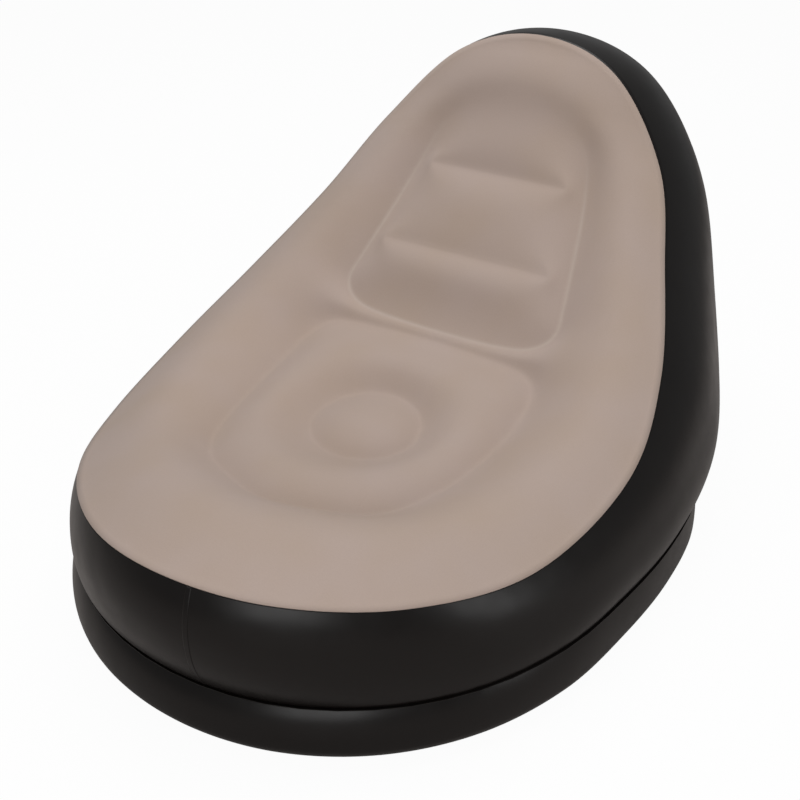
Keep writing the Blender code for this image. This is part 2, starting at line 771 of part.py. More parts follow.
def valve_collar(prefix, material, group):
    """The flange welded to the wall, with a neck that takes the plug."""
    inner = NECK_RADIUS - NECK_WALL
    flange_top = GAP + COLLAR_THICKNESS
    profile = [
        (inner, NECK_OUTWARD),
        (NECK_RADIUS, NECK_OUTWARD),
        (NECK_RADIUS, flange_top + COLLAR_STEP),
        (NECK_RADIUS + COLLAR_STEP, flange_top),
        (COLLAR_RADIUS - COLLAR_STEP, flange_top),
        (COLLAR_RADIUS, flange_top - COLLAR_STEP),
        (COLLAR_RADIUS, GAP),
        (NECK_RADIUS, GAP),
        (NECK_RADIUS, -NECK_INWARD),
        (inner, -NECK_INWARD),
    ]
    return turned(f"{prefix}_valve_collar", profile, material, group)


def seal_bottom():
    """Height of the sealing ring's underside, a gap above the neck's rim."""
    return NECK_OUTWARD + GAP


def head_bottom():
    """Height of the plug head's underside."""
    return seal_bottom() + SEAL_THICKNESS + GAP


def head_top():
    """Height of the plug head's outer face."""
    return head_bottom() + PLUG_HEAD_THICKNESS


def shank_radius():
    """The plug's shank runs in the neck with its thread clearance."""
    return NECK_RADIUS - NECK_WALL - THREAD_CLEARANCE


def valve_seal(prefix, material, group):
    """The ring between the neck's rim and the plug's head."""
    low, high = seal_bottom(), seal_bottom() + SEAL_THICKNESS
    inner = shank_radius() + GAP
    profile = [(inner, high), (NECK_RADIUS, high), (NECK_RADIUS, low), (inner, low)]
    return turned(f"{prefix}_valve_seal", profile, material, group)


def valve_plug(prefix, material, group, cutters, axis):
    """The screw plug: shank, gripped head, air bore and the seat of its cap."""
    top, low = head_top(), head_bottom()
    profile = [
        (CAP_SEAT_RADIUS, top),
        (PLUG_HEAD_RADIUS - PLUG_CHAMFER, top),
        (PLUG_HEAD_RADIUS, top - PLUG_CHAMFER),
        (PLUG_HEAD_RADIUS, low),
        (shank_radius(), low),
        (shank_radius(), -PLUG_INWARD),
        (BORE_RADIUS, -PLUG_INWARD),
        (BORE_RADIUS, top - CAP_SEAT_DEPTH),
        (CAP_SEAT_RADIUS, top - CAP_SEAT_DEPTH),
    ]
    plug = turned(f"{prefix}_valve_plug", profile, material, group)
    for index in range(GRIP_COUNT):
        angle = 2 * math.pi * (index + 0.5) / GRIP_COUNT
        place = (PLUG_HEAD_RADIUS * math.cos(angle), PLUG_HEAD_RADIUS * math.sin(angle), (top + low) / 2)
        name = f"{prefix}_grip_{index}"
        notch = cylinder(name, GRIP_RADIUS, PLUG_HEAD_THICKNESS + CUT_OVERRUN, place, (0, 0, 1), group, 8)
        notch.parent = axis
        cut(plug, as_cutter(notch, cutters))
    return plug


def join_shapes(name, shapes, material, group):
    """One solid from several: the first one united with the rest."""
    first = shapes[0]
    for other in shapes[1:]:
        union = first.modifiers.new("union", "BOOLEAN")
        union.operation = "UNION"
        union.solver = "EXACT"
        union.object = other
    bpy.context.view_layer.update()
    graph = bpy.context.evaluated_depsgraph_get()
    mesh = bpy.data.meshes.new_from_object(first.evaluated_get(graph))
    mesh.name = name
    for shape in shapes:
        bpy.data.objects.remove(shape, do_unlink=True)
    item = bpy.data.objects.new(name, mesh)
    item.data.materials.clear()
    item.data.materials.append(material)
    group.objects.link(item)
    return item


def valve_cap(prefix, material, group):
    """The cap on the plug's bore, with its stub, pull tab and the strap up to the fold."""
    low = head_top() - CAP_SEAT_DEPTH + GAP
    top = low + CAP_THICKNESS
    radius = CAP_SEAT_RADIUS - GAP - GAP
    stub = BORE_RADIUS - GAP
    profile = [
        (0, top),
        (radius, top),
        (radius, low),
        (stub, low),
        (stub - CAP_STUB_TAPER, low - CAP_STUB_LENGTH),
        (0, low - CAP_STUB_LENGTH),
    ]
    disc = turned("disc", profile, material, group, closed=False)
    above = head_top() + GAP
    tab_far = radius + CAP_TAB_REACH
    tab = block("tab", (tab_far - stub, CAP_TAB_WIDTH, CAP_TAB_THICKNESS),
                (-(tab_far + stub) / 2, 0, above + CAP_TAB_THICKNESS / 2), material, group)
    strap_end = STRAP_HINGE_RADIUS - STRAP_FOLD
    strap = block("strap", (strap_end - stub, STRAP_WIDTH, STRAP_THICKNESS),
                  ((strap_end + stub) / 2, 0, above + STRAP_THICKNESS / 2), material, group)
    return join_shapes(f"{prefix}_valve_cap", [disc, tab, strap], material, group)


def strap_anchor(prefix, material, group):
    """The strap's fixed end beyond its fold, on the plug's head."""
    near = STRAP_HINGE_RADIUS + STRAP_FOLD
    size = (STRAP_ANCHOR_REACH, STRAP_WIDTH, STRAP_THICKNESS)
    place = (near + STRAP_ANCHOR_REACH / 2, 0, head_top() + GAP + STRAP_THICKNESS / 2)
    return block(f"{prefix}_valve_strap_anchor", size, place, material, group)


def valve_flap(prefix, material, group):
    """The soft flap that the inner air presses on the bore."""
    top = -PLUG_INWARD - GAP
    profile = [(0, top), (FLAP_RADIUS, top), (FLAP_RADIUS, top - FLAP_THICKNESS), (0, top - FLAP_THICKNESS)]
    disc = turned("disc", profile, material, group, closed=False)
    near = FLAP_RADIUS / 2
    neck = block("neck", (FLAP_NECK_WIDTH, FLAP_HINGE_RISE - near, FLAP_THICKNESS),
                 (0, -(FLAP_HINGE_RISE + near) / 2, top - FLAP_THICKNESS / 2), material, group)
    return join_shapes(f"{prefix}_valve_flap", [disc, neck], material, group)


def flap_stud(prefix, material, group):
    """The pin beside the flap's hinge that holds it to the plug's inner end."""
    top = -PLUG_INWARD - GAP
    low = top - FLAP_THICKNESS - FLAP_THICKNESS
    profile = [(0, top), (STUD_RADIUS, top), (STUD_RADIUS, low), (0, low)]
    stud = turned(f"{prefix}_valve_flap_stud", profile, material, group, closed=False, steps=TURNED_STEPS // 2)
    stud.location.y = -STUD_RISE
    return stud


def build():
    """Make every piece of the lounger."""
    clear_scene()
    lounger = new_collection("inflatable_lounger")
    cutters = new_collection("cutters")
    flock = new_material("flocked_pvc", FLOCK_LOOK)
    black = new_material("black_pvc", BLACK_PVC_LOOK)
    inner = new_material("inner_pvc", INNER_PVC_LOOK)
    plastic = new_material("valve_plastic", VALVE_LOOK)
    rubber = new_material("valve_rubber", SEAL_LOOK)

    panel = FlockedPanel(seam_loop())
    wall = SideWall(panel)
    base = BaseWall()
    top_panel(panel, flock, lounger)
    wall_rows = [*(SEAM_ROW_SHARE * v for v in WALL_ROW_SHARES), 1.0]
    body_seat = wall_sheet("side_wall", wall, rearmost(wall), wall_rows, black, lounger)
    base_place = way_to_height(base, WAIST_HEIGHT / 2)
    base_seat = wall_sheet("base_wall", base, base_place, BASE_ROW_SHARES, black, lounger)

    crease = even_loop(waist_loop(-CREASE_FLANGE), SEAM_POINTS)
    level_sheet("waist_diaphragm", crease, WAIST_HEIGHT, black, lounger)
    level_sheet("bottom_sheet", even_loop(base.sole(), SEAM_POINTS), PVC / 2, black, lounger)
    inner_webs(panel, inner, lounger, cutters)
    base_web(inner, lounger, cutters)

    valve("body", body_seat, (plastic, rubber), lounger, cutters)
    valve("base", base_seat, (plastic, rubber), lounger, cutters)


build()
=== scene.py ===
"""Inflatable air lounger dressed for rendering: flocked scoop, satin black walls and screw valves.

Metres, +Z up, the front faces -Y, with the origin on the floor below the middle of the waist crease.
"""

import json
import math

import bpy
import numpy as np
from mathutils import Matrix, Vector
from mathutils.geometry import delaunay_2d_cdt


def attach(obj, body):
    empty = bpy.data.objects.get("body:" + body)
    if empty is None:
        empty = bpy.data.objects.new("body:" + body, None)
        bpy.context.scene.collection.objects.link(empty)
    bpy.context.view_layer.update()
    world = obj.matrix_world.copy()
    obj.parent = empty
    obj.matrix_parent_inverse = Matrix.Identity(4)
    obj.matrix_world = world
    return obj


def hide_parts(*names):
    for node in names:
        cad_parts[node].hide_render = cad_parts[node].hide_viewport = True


bl_info = {
    "name": "Inflatable Air Lounger",
    "version": (1, 0, 0),
    "blender": (4, 5, 0),
    "location": "View3D > Sidebar > Lounger",
    "description": "Builds a flocked inflatable lounger over its CAD frame",
    "category": "Add Mesh",
}

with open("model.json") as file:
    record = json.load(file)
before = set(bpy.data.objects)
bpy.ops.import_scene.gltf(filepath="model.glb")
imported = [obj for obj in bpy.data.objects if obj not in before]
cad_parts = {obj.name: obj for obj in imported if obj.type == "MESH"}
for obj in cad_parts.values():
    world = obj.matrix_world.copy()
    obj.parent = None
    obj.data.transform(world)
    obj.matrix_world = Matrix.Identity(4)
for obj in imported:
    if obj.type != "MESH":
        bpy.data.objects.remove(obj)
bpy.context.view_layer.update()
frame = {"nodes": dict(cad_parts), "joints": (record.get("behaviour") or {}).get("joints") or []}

MM = 0.001
SAMPLES = 720


# Sizes and colours that a user would change


class LoungerSeamSettings(bpy.types.PropertyGroup):
    """The top seam, where the flocked sheet is welded to the side wall."""

    width: bpy.props.FloatProperty(
        name="Width", description="Widest distance across the seam", default=0.864, unit="LENGTH")
    length: bpy.props.FloatProperty(
        name="Length", description="Level distance from the front to the top of the seam", default=1.040,
        unit="LENGTH")
    arm_height: bpy.props.FloatProperty(
        name="Arm Height", description="Lowest height of the seam, at the arms", default=0.231, unit="LENGTH")
    back_height: bpy.props.FloatProperty(
        name="Back Height", description="Height of the seam at the top of the backrest", default=0.752,
        unit="LENGTH")
    front_y: bpy.props.FloatProperty(
        name="Front", description="Place of the seam's front middle", default=-0.590, unit="LENGTH")
    lap: bpy.props.FloatProperty(
        name="Lap", description="How far the side wall laps under the flocked sheet", default=0.010,
        unit="LENGTH")


class LoungerBodySettings(bpy.types.PropertyGroup):
    """The side wall between waist and seam, and the base ring below it."""

    waist_width: bpy.props.FloatProperty(
        name="Waist Width", description="Width of the waist crease", default=0.959, unit="LENGTH")
    waist_length: bpy.props.FloatProperty(
        name="Waist Length", description="Length of the crease from front to rear", default=1.275,
        unit="LENGTH")
    waist_front_y: bpy.props.FloatProperty(
        name="Waist Front", description="Place of the crease's front middle", default=-0.584, unit="LENGTH")
    waist_height: bpy.props.FloatProperty(
        name="Waist Height", description="Height of the crease", default=0.099, unit="LENGTH")
    out_front: bpy.props.FloatProperty(
        name="Out Front", description="How far the wall swells outward at the front", default=0.016,
        unit="LENGTH")
    front_fill: bpy.props.FloatProperty(
        name="Front Fill", description="How much further it swells in the middle of the front", default=0.010,
        unit="LENGTH")
    out_rear: bpy.props.FloatProperty(
        name="Out Rear", description="How far the wall swells outward at the rear", default=0.034,
        unit="LENGTH")
    back: bpy.props.FloatProperty(
        name="Back", description="How far the wall behind the backrest swells to the rear", default=0.105,
        unit="LENGTH")
    lift: bpy.props.FloatProperty(
        name="Lift", description="How far the wall behind the backrest swells upward", default=0.102,
        unit="LENGTH")
    base_overhang_front: bpy.props.FloatProperty(
        name="Base Overhang Front", description="How far the base ring's front stands out from the crease",
        default=0.021, unit="LENGTH")
    base_overhang: bpy.props.FloatProperty(
        name="Base Overhang", description="How far the base ring's rear stands out from the crease",
        default=0.006, unit="LENGTH")
    base_round: bpy.props.FloatProperty(
        name="Base Round", description="Radius of the base ring's side", default=0.062, unit="LENGTH")
    base_mid_height: bpy.props.FloatProperty(
        name="Base Middle", description="Height at which the base ring stands out furthest", default=0.037,
        unit="LENGTH")


class LoungerPadSettings(bpy.types.PropertyGroup):
    """The pads welded into the flocked sheet, measured along it from the front seam."""

    seat_start: bpy.props.FloatProperty(
        name="Seat Start", description="Front edge of the seat pad", default=0.221, unit="LENGTH")
    seat_length: bpy.props.FloatProperty(
        name="Seat Length", description="Length of the seat pad", default=0.480, unit="LENGTH")
    seat_width: bpy.props.FloatProperty(
        name="Seat Width", description="Width of the seat pad", default=0.448, unit="LENGTH")
    oval_width: bpy.props.FloatProperty(
        name="Oval Width", description="Width of the oval weld in the seat", default=0.184, unit="LENGTH")
    oval_length: bpy.props.FloatProperty(
        name="Oval Length", description="Length of the oval weld in the seat", default=0.170, unit="LENGTH")
    spacing: bpy.props.FloatProperty(
        name="Spacing", description="Strip between seat pad and back pad", default=0.020, unit="LENGTH")
    back_length: bpy.props.FloatProperty(
        name="Back Length", description="Length of the back pad", default=0.434, unit="LENGTH")
    back_width: bpy.props.FloatProperty(
        name="Back Width", description="Width of the back pad", default=0.418, unit="LENGTH")
    weld_width: bpy.props.FloatProperty(
        name="Weld Width", description="Width of the pressed weld lines", default=0.005, unit="LENGTH")
    weld_round: bpy.props.FloatProperty(
        name="Weld Round", description="How softly the sheet rises from a weld", default=0.005, unit="LENGTH")
    head_round: bpy.props.FloatProperty(
        name="Head Round", description="How softly the sheet rises from the top of the back pad",
        default=0.035, unit="LENGTH")


class LoungerFinishSettings(bpy.types.PropertyGroup):
    """Colours of the sheets and of the valves."""

    flock: bpy.props.StringProperty(
        name="Flock", description="Colour of the flock, sRGB hex", default="#b3a197")
    flock_warm: bpy.props.StringProperty(
        name="Flock Warm", description="Colour of the flock where its pile leans to the light, sRGB hex",
        default="#b19e91")
    # Weld colour: pressed flock, painted lighter as a highlight where the flat pile catches the light
    flock_weld_highlight: bpy.props.StringProperty(
        name="Flock Weld", description="Colour of the pressed flock in a weld, sRGB hex", default="#b9a99e")
    black_vinyl: bpy.props.StringProperty(
        name="Black Vinyl", description="Colour of the walls, sRGB hex", default="#0f0c0b")
    grey_vinyl: bpy.props.StringProperty(
        name="Grey Vinyl", description="Colour of the inner sheets, sRGB hex", default="#4c4c4e")
    valve: bpy.props.StringProperty(
        name="Valve", description="Colour of the moulded valve parts, sRGB hex", default="#29292b")
    rubber: bpy.props.StringProperty(
        name="Rubber", description="Colour of rings and flaps, sRGB hex", default="#9e9e99")


class LoungerStageSettings(bpy.types.PropertyGroup):
    """Camera, lamps and floor."""

    azimuth: bpy.props.FloatProperty(
        name="Azimuth", description="Camera's way round the lounger from the front",
        default=math.radians(32.494), subtype="ANGLE")
    elevation: bpy.props.FloatProperty(
        name="Elevation", description="Camera's angle above the floor", default=math.radians(31.15),
        subtype="ANGLE")
    distance: bpy.props.FloatProperty(
        name="Distance", description="Camera's distance from its target", default=1.8888, unit="LENGTH")
    target_height: bpy.props.FloatProperty(
        name="Target Height", description="Height of the point that the camera looks at", default=0.2369,
        unit="LENGTH")
    focal_length: bpy.props.FloatProperty(
        name="Focal Length", description="Lens, on a sensor 36 mm wide", default=50.23,
        subtype="DISTANCE_CAMERA", unit="CAMERA")
    overhead_power: bpy.props.FloatProperty(
        name="Overhead Power", description="Soft lamp above the seat", default=98.0, unit="POWER")
    left_power: bpy.props.FloatProperty(
        name="Left Power", description="Soft box in front at the left", default=15.0, unit="POWER")
    right_power: bpy.props.FloatProperty(
        name="Right Power", description="Soft box at the right", default=7.5, unit="POWER")
    ambient: bpy.props.FloatProperty(
        name="Ambient", description="Strength of the surroundings as a light", default=0.22)
    # In the photograph the black film mirrors dim surroundings, and its lamps are the only light forms in it
    mirrored: bpy.props.FloatProperty(
        name="Mirrored", description="Share of the white background that reflections show", default=0.08)
    floor_paper: bpy.props.StringProperty(
        name="Floor Paper", description="Colour that the floor throws back on the lounger, sRGB hex",
        default="#b4aaa4")
    floor_seen: bpy.props.StringProperty(
        name="Floor Seen", description="Colour of the floor to the camera, sRGB hex", default="#f4f4f4")


# The forms that every sheet follows, as shares of the sizes above

SEAM_SHARES = (
    (0.0, 0.0, 0.094), (0.370, 0.037, 0.071), (0.694, 0.144, 0.031), (0.914, 0.309, 0.0), (1.0, 0.519, 0.067),
    (0.937, 0.683, 0.215), (0.787, 0.825, 0.434), (0.625, 0.936, 0.676), (0.347, 0.990, 0.919),
    (0.0, 1.0, 1.0),
)
SEAT_SHARES = (
    (0.0, 0.0), (0.42, 0.060), (0.69, 0.145), (0.87, 0.320), (0.965, 0.530), (1.0, 0.740), (0.975, 0.880),
    (0.84, 0.968), (0.50, 0.992), (0.0, 1.0),
)
BACK_SHARES = (
    (0.0, 0.0), (0.58, 0.008), (0.86, 0.038), (0.99, 0.112), (0.965, 0.225), (0.92, 0.350), (0.79, 0.680),
    (0.68, 0.850), (0.50, 0.940), (0.25, 0.985), (0.0, 1.0),
)
WAIST_SHARES = (
    (0.0, 0.0), (0.300, 0.018), (0.570, 0.072), (0.780, 0.155), (0.915, 0.260), (0.975, 0.375), (1.0, 0.490),
    (0.975, 0.605), (0.865, 0.712), (0.720, 0.812), (0.540, 0.907), (0.300, 0.978), (0.0, 1.0),
)
OVAL_PLACE_SHARE = 0.5625
CROSS_WELD_SHARES = (0.31, 0.68)
BASE_LOW_SHARE = 0.5
# Where the painted highlight on the back pad's weld ends, and how far it fades, as shares of the pad's length
WELD_HIGHLIGHT_END_SHARE, WELD_HIGHLIGHT_FADE_SHARE = 0.90, 0.35
LAP_WAY_SHARE, LAP_END_SHARES = 0.0165, (0.0, 0.995)


# Swells, powers and lengths of the sheets

CROSS_WELD_INSET, CROSS_WELD_LIFT, CROSS_WELD_ROUND = 36 * MM, 14 * MM, 6 * MM
WALL_ROUND_POWER, WALL_FULL_POWER = 2.2, 3.5
LIFT_POWER, OVERHANG_POWER, FRONT_FILL_POWER = 5, 3, 12
RIM_SWELL, HEAD_SWELL, SEAT_SWELL, OVAL_SWELL, BACK_SWELL = 0.70, 0.45, 0.60, 0.55, 0.42
SEAT_FRONT_LIFT, SEAT_REAR_SINK, SEAT_REAR_ROUND, SEAT_SINK_POWER = 25 * MM, 25 * MM, 4 * MM, 1.3
OVAL_SINK = 14 * MM
BACK_LOW_SINK, BACK_LOW_POWER, BACK_TOP_LIFT, HEAD_POWER = 24 * MM, 6, 30 * MM, 4
FLOCKED_THICKNESS, VINYL_THICKNESS = 1.5 * MM, 1.0 * MM
CLEARANCE, LAP_CLEARANCE = 0.3 * MM, 0.5 * MM
VALVE_FLAT_RADIUS, VALVE_HOLE_RADIUS = 27.5 * MM, 19.0 * MM
VALVE_DEPTH = 2 * VALVE_FLAT_RADIUS
LAP_WIDTH, LAP_THICKNESS = 8 * MM, 0.3 * MM


# Fineness of the meshes

CROSS_WELD_SAMPLES = SAMPLES // 8
WELD_STEP, WELD_SHOULDER = 5 * MM, 2.4
MESH_CELL, MERGE_DISTANCE = 5.5 * MM, 0.01 * MM
SIDE_WALL_ROWS, TURNED_IN_ROWS, BASE_WALL_ROWS = 97, 3, 41
LAP_COLUMNS, LAP_ROWS = 7, 80
POINTS_AT_ONCE = 2000


# Gloss of the films and valves, and the stage

BLACK_ROUGHNESS, GREY_ROUGHNESS = 0.32, 0.5
PLASTIC_ROUGHNESS, RUBBER_ROUGHNESS = 0.38, 0.6
SENSOR_WIDTH, TARGET_ASIDE, LAMP_AIM_HEIGHT = 36.0, 0.00087, 0.3
FLOOR_REACH, FLOOR_GLOW_SHARE = 30.0, 0.96


def smooth_loop(points, steps=24):
    """Closed Catmull-Rom curve through the given points."""
    points = np.asarray(points, dtype=float)
    t = np.linspace(0, 1, steps, endpoint=False)[:, None]
    spans = []
    for i in range(len(points)):
        a, b, c, d = (points[(i + k) % len(points)] for k in (-1, 0, 1, 2))
        spans.append(0.5 * (2 * b + (c - a) * t + (2 * a - 5 * b + 4 * c - d) * t**2
                            + (3 * b - a - 3 * c + d) * t**3))
    return np.concatenate(spans)


def even_loop(loop, count=SAMPLES):
    """The same closed curve with count points at equal steps along it."""
    closed = np.vstack([loop, loop[:1]])
    way = np.concatenate([[0], np.cumsum(np.linalg.norm(np.diff(closed, axis=0), axis=1))])
    at = np.arange(count) / count * way[-1]
    return np.stack([np.interp(at, way, closed[:, k]) for k in range(loop.shape[1])], axis=1)


def both_halves(right_half):
    """A closed outline from its right half, whose first and last points lie on the middle line."""
    right_half = np.asarray(right_half, dtype=float)
    left_half = right_half[-2:0:-1].copy()
    left_half[:, 0] *= -1
    return np.vstack([right_half, left_half])


def around(table, t):
    """Values of a closed table of samples at shares t of the way round."""
    at = (np.asarray(t, dtype=float) % 1.0) * len(table)
    low = np.floor(at).astype(int)
    part = (at - low)[:, None]
    return table[low % len(table)] * (1 - part) + table[(low + 1) % len(table)] * part


def unit(vectors):
    """Vectors scaled to length one."""
    return vectors / np.linalg.norm(vectors, axis=1)[:, None]


def inside(loop, points):
    """Which points lie inside a closed flat loop."""
    found = np.zeros(len(points), dtype=bool)
    for (ax, ay), (bx, by) in zip(loop, np.roll(loop, -1, axis=0)):
        if ay == by:
            continue
        spans = (ay > points[:, 1]) != (by > points[:, 1])
        found ^= spans & (points[:, 0] < ax + (points[:, 1] - ay) * (bx - ax) / (by - ay))
    return found


def sideways(loop, closed=True):
    """Unit vectors to the left of a flat line."""
    if closed:
        along = np.roll(loop, -1, axis=0) - np.roll(loop, 1, axis=0)
    else:
        along = np.gradient(loop, axis=0)
    return unit(np.stack([-along[:, 1], along[:, 0]], axis=1))


class FlockedSheet:
    """The flocked sheet over its flat pattern: across the sheet, and along it from the front seam."""

    def __init__(self, seam_sizes, pads):
        half = [(x * seam_sizes.width / 2, seam_sizes.front_y + y * seam_sizes.length,
                 seam_sizes.arm_height + z * (seam_sizes.back_height - seam_sizes.arm_height))
                for x, y, z in SEAM_SHARES]
        self.seam = even_loop(smooth_loop(both_halves(half)))
        self.pads = pads
        half = self.seam[:SAMPLES // 2 + 1]
        self.way = np.concatenate([[0], np.cumsum(np.hypot(np.diff(half[:, 1]), np.diff(half[:, 2])))])
        self.length = self.way[-1]
        self.grid = np.linspace(0, self.length, SAMPLES)
        self.line = np.stack([np.interp(self.grid, self.way, half[:, k]) for k in (1, 2)], axis=1)
        slope = unit(np.gradient(self.line, self.grid, axis=0))
        self.normal = np.stack([-slope[:, 1], slope[:, 0]], axis=1)
        right = np.stack([half[:, 0], self.way], axis=1)
        self.outline = np.vstack([right, right[-2:0:-1] * (-1, 1)])
        self.lap_line = self.outline + sideways(self.outline) * seam_sizes.lap
        self.seat = self.pad_loop(SEAT_SHARES, pads.seat_width, pads.seat_start, pads.seat_length)
        self.back_start = pads.seat_start + pads.seat_length + pads.spacing
        self.back = self.pad_loop(BACK_SHARES, pads.back_width, self.back_start, pads.back_length)
        angle = 2 * math.pi * np.arange(SAMPLES) / SAMPLES
        oval_at = pads.seat_start + OVAL_PLACE_SHARE * pads.seat_length
        self.oval = np.stack([pads.oval_width / 2 * np.sin(angle),
                              oval_at - pads.oval_length / 2 * np.cos(angle)], axis=1)
        self.cross_welds = [self.cross_weld(self.back_start + share * pads.back_length)
                            for share in CROSS_WELD_SHARES]
        self.collect_welds()

    def pad_loop(self, shares, width, start, length):
        """Flat outline of a pad from the shares of its right half."""
        return even_loop(smooth_loop(both_halves([(x * width / 2, start + s * length) for x, s in shares])))

    def cross_weld(self, at):
        """A straight weld across the back pad that stops short of the pad's outline."""
        half = self.back[:SAMPLES // 2 + 1]
        reach = half[np.argmin(np.abs(half[:, 1] - at)), 0] - CROSS_WELD_INSET
        across = np.linspace(-reach, reach, CROSS_WELD_SAMPLES)
        return np.stack([across, np.full_like(across, at)], axis=1)

    def seat_level(self, s):
        """Height of the seat's welds off the scoop line."""
        p = np.clip((s - self.pads.seat_start) / self.pads.seat_length, 0, 1)
        return SEAT_FRONT_LIFT - (SEAT_FRONT_LIFT + SEAT_REAR_SINK) * p**SEAT_SINK_POWER

    def way_up(self, flat):
        """Share of the back pad's length at which a point lies."""
        return np.clip((flat[:, 1] - self.back_start) / self.pads.back_length, 0, 1)

    def back_level(self, line):
        """Height of the back pad's welds off the scoop line."""
        up = self.way_up(line)
        return BACK_TOP_LIFT * up**HEAD_POWER - BACK_LOW_SINK * (1 - up) ** BACK_LOW_POWER

    def collect_welds(self):
        """Sample every weld line: place, height off the scoop, softness, and length of the sample."""
        crisp = self.pads.weld_round
        head = crisp + (self.pads.head_round - crisp) * self.way_up(self.back) ** HEAD_POWER
        rear = (self.seat[:, 1] - self.seat[:, 1].min()) / np.ptp(self.seat[:, 1])
        seat_round = crisp + SEAT_REAR_ROUND * rear**HEAD_POWER
        lines = [(self.outline, np.zeros(SAMPLES), crisp, True),
                 (self.seat, self.seat_level(self.seat[:, 1]), seat_round, True),
                 (self.oval, self.seat_level(self.oval[:, 1]) - OVAL_SINK, crisp, True),
                 (self.back, self.back_level(self.back), head, True)]
        lines += [(weld, self.back_level(weld) + CROSS_WELD_LIFT, CROSS_WELD_ROUND, False)
                  for weld in self.cross_welds]
        places, levels, rounds, lengths = [], [], [], []
        for line, level, softness, closed in lines:
            ahead = np.roll(line, -1, axis=0) if closed else np.vstack([line[1:], line[-1:]])
            places.append(line)
            levels.append(level)
            rounds.append(np.broadcast_to(softness, len(line)))
            lengths.append(np.linalg.norm(ahead - line, axis=1))
        self.weld_place = np.concatenate(places)
        self.weld_level = np.concatenate(levels)
        self.weld_round = np.concatenate(rounds)
        self.weld_length = np.concatenate(lengths)

    def relief(self, flat):
        """Height of the sheet off the scoop: the welds hold it, the air swells it between them."""
        height = np.empty(len(flat))
        swell = RIM_SWELL + (HEAD_SWELL - RIM_SWELL) * self.way_up(flat) ** HEAD_POWER
        swell[inside(self.seat, flat)] = SEAT_SWELL
        swell[inside(self.oval, flat)] = OVAL_SWELL
        swell[inside(self.back, flat)] = BACK_SWELL
        for first in range(0, len(flat), POINTS_AT_ONCE):
            part = slice(first, first + POINTS_AT_ONCE)
            away = flat[part, None, :] - self.weld_place[None, :, :]
            distance = np.maximum(np.hypot(away[..., 0], away[..., 1]), CLEARANCE)
            pull = self.weld_length / distance**3
            total = pull.sum(axis=1)
            held = (pull * self.weld_level).sum(axis=1) / total
            soft = (pull * self.weld_round).sum(axis=1) / total
            height[part] = held + swell[part] * (np.sqrt(2 / total + soft**2) - soft)
        return height

    def weld_highlight_share(self, flat):
        """Share of the back pad's weld that is painted lighter: crushed pile with a painted highlight that
        fades out towards its top.
        """
        away = np.full(len(flat), np.inf)
        for first in range(0, len(flat), POINTS_AT_ONCE):
            part = slice(first, first + POINTS_AT_ONCE)
            gap = flat[part, None, :] - self.back[None, :, :]
            away[part] = np.hypot(gap[..., 0], gap[..., 1]).min(axis=1)
        fade = np.clip((WELD_HIGHLIGHT_END_SHARE - self.way_up(flat)) / WELD_HIGHLIGHT_FADE_SHARE, 0, 1)
        return np.clip((self.pads.weld_width / 2 - away) / MM + 0.5, 0, 1) * fade

    def lay(self, flat, height):
        """Points in space over points of the flat pattern, at a height off the scoop."""
        place = [np.interp(flat[:, 1], self.grid, self.line[:, k]) for k in (0, 1)]
        normal = [np.interp(flat[:, 1], self.grid, self.normal[:, k]) for k in (0, 1)]
        return np.stack([flat[:, 0], place[0] + normal[0] * height, place[1] + normal[1] * height], axis=1)

    def welded_margin(self):
        """Upper face of the margin over the wall's lap: seam, inner edge and upward normals."""
        seam = self.lay(self.outline, np.zeros(SAMPLES))
        inner = self.lay(self.lap_line, self.relief(self.lap_line))
        along = np.roll(seam, -1, axis=0) - np.roll(seam, 1, axis=0)
        return seam, inner, unit(np.cross(along, inner - seam))


def waist_loop(body):
    """The waist crease from above."""
    half = [(x * body.waist_width / 2, body.waist_front_y + y * body.waist_length) for x, y in WAIST_SHARES]
    return even_loop(smooth_loop(both_halves(half)))


class SideWall:
    """The wall between waist and seam; its top turns in and laps under the flocked sheet."""

    def __init__(self, sheet, seam_sizes, body):
        seam, inner, normal = sheet.welded_margin()
        self.top = seam - normal * (FLOCKED_THICKNESS + LAP_CLEARANCE)
        self.lap = inner - seam
        waist = waist_loop(body)
        level = np.full((SAMPLES, 1), body.waist_height + VINYL_THICKNESS / 2 + CLEARANCE)
        self.foot = np.hstack([waist, level])
        self.rise = self.top - self.foot
        way_back = np.clip((seam[:, 1:2] - seam_sizes.front_y) / seam_sizes.length, 0, 1)
        out = body.out_front + (body.out_rear - body.out_front) * way_back
        out += body.front_fill * (1 - way_back) ** FRONT_FILL_POWER
        self.bulge = np.hstack([-sideways(waist) * out, body.lift * way_back**LIFT_POWER])
        self.bulge[:, 1:2] += body.back * way_back
        self.power = WALL_ROUND_POWER + (WALL_FULL_POWER - WALL_ROUND_POWER) * way_back

    def point(self, t, v):
        """Outer surface over the way round and the way up."""
        v = np.asarray(v, dtype=float)[:, None]
        full = 1 - np.abs(2 * v - 1) ** around(self.power, t)
        return around(self.foot, t) + around(self.rise, t) * v + around(self.bulge, t) * full


